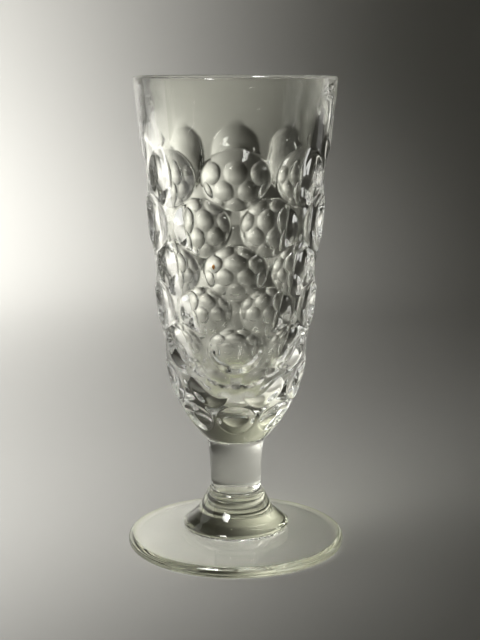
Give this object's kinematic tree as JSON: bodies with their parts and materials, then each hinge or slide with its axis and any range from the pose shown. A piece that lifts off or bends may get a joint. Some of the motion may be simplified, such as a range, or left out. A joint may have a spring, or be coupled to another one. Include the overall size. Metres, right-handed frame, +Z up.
{
  "type": "pressed glass ale glass",
  "caption": "Footed drinking glass in clear pressed glass: tall tapering bowl with seven rows of round dished facets, short stem, flared collar and round foot.",
  "frame": {"origin": "centre of the ring under the foot that the glass stands on", "axes": "+Z up the axis of the glass to the rim; -Y is the side facing the viewer in the picture; +X is the right-hand side"},
  "size_m": [0.075, 0.075, 0.1605],
  "materials": {
    "bowl_glass": "clear pressed glass, fire polished",
    "stem_glass": "clear pressed glass, faint yellow-green",
    "foot_glass": "clear pressed glass, faint yellow-green at the edge"
  },
  "bodies": {
    "root": {"bowl": "bowl_glass", "stem": "stem_glass", "collar": "stem_glass", "foot": "foot_glass"}
  },
  "joints": []
}
